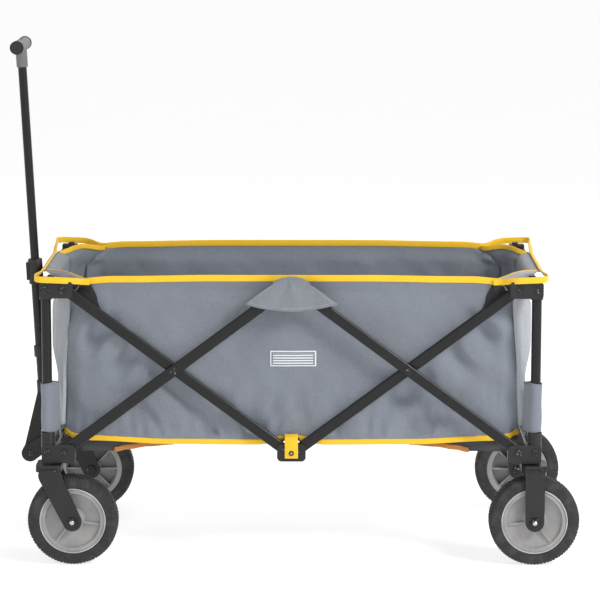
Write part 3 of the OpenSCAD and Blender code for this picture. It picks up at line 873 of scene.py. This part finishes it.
def flap_point(side, u, v):
    """A place on the flap over a top hub: u along the wagon, v from the rim down to the lower edge."""
    s = 2 * u - 1
    if v < 0.25:
        t = v / 0.25
        q = 199 + 27 * math.sin(math.pi / 2 * t)
        z = mix(522, 519, t) + (10 - 6 * s * s) * math.sin(math.pi * t) - 2 * s * s * t
        half = mix(22, 35, t)
    else:
        t = (v - 0.25) / 0.75
        q = 226 - 3.2 * s * s * t
        z = mix(519 - 2 * s * s, 469 + 13 * s * s, t)
        half = mix(35, 84, t ** 0.92)
        q += 1.5 * t * math.sin(s * 7 + t * 2.4 + side) + 3.0 * bump(s, 0, 0.16 + 0.4 * t) * (1 - t)
        q += 1.4 * t * ripple(s * half, z, 16, 21 + side)
    return at(1, side, s * half, q, z)


def hub_flaps():
    for name, side in SIDES:
        made = sheet("hub_flap_" + name, 60, 36, lambda u, v: flap_point(side, u, v), (168, 78), CLOTH_FLAP,
                     "top_hub", keep=FLAP_KEEP, replaces=["hub_flaps"])
        low = [flap_point(side, i / 60, 0.915) for i in range(2, 59)]
        down = [(0.022 + 0.03 * (1 - k / 24), 0.3 + 0.66 * k / 24) for k in range(25)]
        rising = [flap_point(side, u, v) for u, v in down]
        falling = [flap_point(side, 1 - u, v) for u, v in down]
        apex = [flap_point(side, 0.5, 0.06 + 0.22 * k / 12) for k in range(13)]
        for k, row in enumerate((low, rising, falling, apex)):
            row = [place + Vector((0, side * 0.7, 0)) * MM for place in row]
            stitches(f"flap_stitches_{name}_{k}", row, (0, side, 0), CLOTH_LIGHT, "top_hub",
                                 pitch=3.6, length=2.3, radius=0.45, keep=FLAP_KEEP)


def strap(name, side):
    """The webbing from the bed, in two parts where it is unclipped: a tongue and the hanging length."""
    tongue = [(192.6, 234), (198, 237.6), (204, 238.2), (209.2, 236.4)]
    hanging = [(209.6, 236), (213.2, 230.5), (214.6, 222), (214.7, 212), (214.7, 203), (214.6, 196.5)]
    for part, spots, body in (("tongue", tongue, "top_hub"), ("strap", hanging, "bottom_hub")):
        path = curve_through([at(1, side, 0, q, z) for q, z in spots], 4)
        sweep(f"{part}_{name}", path, rounded_box(24, 1.6, 0.7), YELLOW, body, up=Vector((1, 0, 0)),
              replaces=["bottom_straps"] if part == "strap" else ())


def snap_button(name, side):
    front = Vector((MID_X, side * 216.2, 206))
    ring = [(4.7, -0.9), (4.7, 0.5), (4.1, 1.1), (3.1, 1.1), (2.7, 0.2), (2.7, -0.9)]
    stud = [(0.05, -0.8), (2.6, -0.8), (2.5, 0.1), (1.4, 0.8), (0.05, 0.95)]
    turned("snap_ring_" + name, mirrored(ring, side), 32, front, PLASTIC, "bottom_hub")
    turned("snap_stud_" + name, mirrored(stud, side), 24, front, STEEL, "bottom_hub")


def strap_rings(name, side):
    """The two loops on the bed that the strap hangs between."""
    steps = 14
    for k, hand in enumerate((-1, 1)):
        arc = []
        for i in range(steps + 1):
            a = math.pi * i / steps
            arc.append(at(1, side, hand * 19 + 6.5 * math.cos(a), 194.6, 231 - 7.5 * math.sin(a)))
        sweep(f"strap_ring_{name}_{k}", arc, rounded_box(3, 3, 1.4), PLASTIC, "top_hub",
              up=Vector((0, 1, 0)))


def straps():
    for name, side in SIDES:
        strap(name, side)
        snap_button(name, side)
        strap_rings(name, side)


def on_side(side, x, z, out):
    """A place on the side cloth's outer face, x from the middle of the wagon."""
    flat = x * BED_P / side_end_p(z)
    low, high = follow(TRIM_Z, abs(flat)), rim_z(side, abs(flat))
    place = side_point(side, (flat / BED_P + 1) / 2, (z - low) / (high - low))
    return place + Vector((0, side * out, 0)) * MM


def label():
    """The striped patch, a little behind the middle of the near side."""

    def point(u, v):
        return on_side(-1, 3 + LABEL_W * (u - 0.5), 376 + LABEL_H * (v - 0.5), 1.3)

    made = sheet("label_patch", 42, 15, point, (LABEL_W, LABEL_H), LABEL, "top_hub", thick=0.9,
                 keep=BED_KEEP)


# Table for follow(): how far from the middle a corner sheet of painted shade starts, at a height.
SHADE_PATCH_EDGE = ((462, 343), (484, 351), (519, 363))


def corner_shade_patches():
    """Near-black sheets laid on the side cloths as painted shade, where the cloth lies in deep shade
    between the rim and each scissor bar's upper end.
    """
    for tag, _, end, side in CORNERS:

        def point(u, v):
            inboard = follow(SHADE_PATCH_EDGE, mix(462, 519, v))
            p = mix(min(inboard + 52, 399), inboard, u)
            along_bar = 510 - (412 - p) * 0.745
            return on_side(side, end * p, mix(along_bar, 517, v), 1.6)

        made = sheet("corner_shade_patch_" + tag, 16, 14, point, (46, 40), CLOTH_PAINTED_SHADE, "top_hub", thick=1.0,
                     keep=BED_KEEP)


# ---------- floor, mat and pieces under the floor ----------


def floor_cloth():
    def point(u, v):
        x, y = (2 * u - 1) * 413, (2 * v - 1) * 188
        return at(1, 1, x, y, 227.3 - 0.9 * ripple(x, y, 70, 9.1))

    base = sheet("floor_cloth", 80, 40, point, (826, 376), CLOTH_DARK, "top_hub", keep=BED_KEEP,
                 replaces=["floor_panel"])


def floor_mat():
    """The padded mat: stiff sections, each puffed up between flat creases across the wagon."""
    half_l, half_w, sections = 417, 184, 4
    across, along = 30, 120
    verts, uvs = [], []
    for top in (1, 0):
        for j in range(across + 1):
            for i in range(along + 1):
                x, y = (2 * i / along - 1) * half_l, (2 * j / across - 1) * half_w
                part = (i / along * sections) % 1
                near_edge = min(half_l - abs(x), half_w - abs(y))
                rise = 7.4 * smooth(-2, 9, near_edge) * smooth(0, 0.045, min(part, 1 - part))
                rise += 0.5 * ripple(x, y, 60, 3.3) * smooth(4, 30, near_edge)
                verts.append(at(1, 1, x, y, 229.2 + (max(0.9, rise) if top else 0.0)))
                uvs.append((x * MM, y * MM))
    faces = grid_faces(along, across)
    count = (across + 1) * (along + 1)
    faces += [tuple(count + k for k in reversed(face)) for face in grid_faces(along, across)]
    row = along + 1
    ring = [*range(row), *range(2 * row - 1, count, row), *reversed(range(count - row, count - 1)),
            *reversed(range(row, count - row, row))]
    for a, b in zip(ring, ring[1:] + ring[:1]):
        faces.append((b, a, a + count, b + count))
    mat = piece("floor_mat_padded", verts, faces, CLOTH_DARK, "top_hub", uvs, keep=BED_KEEP,
                replaces=["floor_mat"])


# How low the flaps under the floor hang, at a distance from the middle.
UNDER_Z = ((216, 216.5), (262, 213), (300, 207.5), (322, 203), (387, 203))


def under_pieces():
    """Dark flaps hanging along the floor's sides, edged with ribbon in the yellow binding darkened by
    painted shade.
    """
    for tag, _, end, side in CORNERS:

        def point(u, v):
            p = mix(387, 216, u)
            hang = 228 - follow(UNDER_Z, p)
            return at(end, side, p, 181 + 1.5 * v * math.sin(p / 14), 228 - hang * v)

        made = sheet("under_flap_" + tag, 48, 8, point, (167, 23), CLOTH_DARK, "top_hub", keep=BED_KEEP)
        spots = [mix(324, 216, i / 40) for i in range(41)]
        edge = [at(end, side, p, 182.5, follow(UNDER_Z, p) + 3) for p in spots]
        ribbon = sweep("under_ribbon_" + tag, edge, rounded_box(9, 2, 0.8), YELLOW_PAINTED_SHADE, "top_hub", keep=BED_KEEP)


# ---------- wheels ----------

LUGS = 84


def tread(a, r, w):
    """How much the shoulders are cut between small lugs, staggered from side to side."""
    if r < 75:
        return 0.0
    phase = (a * LUGS / (2 * math.pi) + (0.5 if w > 0 else 0)) % 1
    cut = 1 if phase > 0.7 else 0
    return -1.5 * cut * smooth(5, 9, abs(w))


def wheel_place(name, end, side, out=0.0):
    return Vector((MID_X + end * WHEEL_P[name], side * (WHEEL_Q + out), AXLE_Z))


def tyres():
    half = [(59.6, 17.5), (62, 19.2), (66, 19.6), (70, 18.8), (75.2, 19.3), (78.6, 18.2), (80.6, 15.6),
            (82.2, 12.2), (82.4, 6.4), (82.4, 3.0), (81.0, 2.2)]
    profile = [*half, *mirrored(reversed(half), -1)]
    lip = [(59.9, 16.5), (60.4, 18.4), (59.8, 19.5), (58.7, 19.6), (58.1, 19.0), (58.0, 17.0)]
    for name, end in ENDS:
        for side_name, side in SIDES:
            place = wheel_place(name, end, side)
            body = f"{name}_wheel_{side_name}"
            turned(f"tyre_{name}_{side_name}", profile, 5 * LUGS, place, TYRE, body, radial=tread,
                   replaces=[f"{name}_tyre_{side_name}"])
            # The lip ring is painted paler, as the highlight along the rim's edge.
            turned(f"rim_ring_{name}_{side_name}", mirrored(lip, side), 96, place, WHEEL_PAINTED_HIGHLIGHT, body)


def axle_tip(tag, name, end, side, body):
    """The bright end of an axle bolt."""
    tip = [(0.05, 0.0), (4.6, 0.0), (4.4, 1.0), (3.2, 2.2), (1.6, 2.8), (0.05, 3.0)]
    place = wheel_place(name, end, side, 31.6)
    turned("axle_tip_" + tag, mirrored(tip, side), 24, place, STEEL, body)


def crown_band(tag, end, side, body):
    """A ridged band round a fork's crown."""
    outline = [Vector((x, y, 0)) for x, y in rounded_box(44, 54, 9, 6)]
    middle = Vector((MID_X + end * POST_P - end * 2, side * WHEEL_Q, 178.5))
    path = []
    for a, b in zip(outline, outline[1:] + outline[:1]):
        steps = max(1, round((b - a).length / 2.2))
        for k in range(steps):
            ridge = 0.5 if len(path) % 2 else -0.3
            spot = a.lerp(b, k / steps)
            path.append((middle + spot + spot.normalized() * ridge) * MM)
    path.append(path[0])
    sweep("crown_band_" + tag, path, rounded_box(5, 2.2, 0.8), DARK_STEEL, body)


def crowns_and_tips():
    for name, end in ENDS:
        for side_name, side in SIDES:
            tag = f"{name}_{side_name}"
            body = "caster_" + side_name if name == "front" else "lower_rear"
            axle_tip(tag, name, end, side, body)
            crown_band(tag, end, side, body)


studio()
finish_cad_pieces()
side_cloths()
end_cloths()
bracket_caps()
sleeves()
hub_flaps()
straps()
label()
corner_shade_patches()
floor_cloth()
floor_mat()
under_pieces()
tyres()
crowns_and_tips()
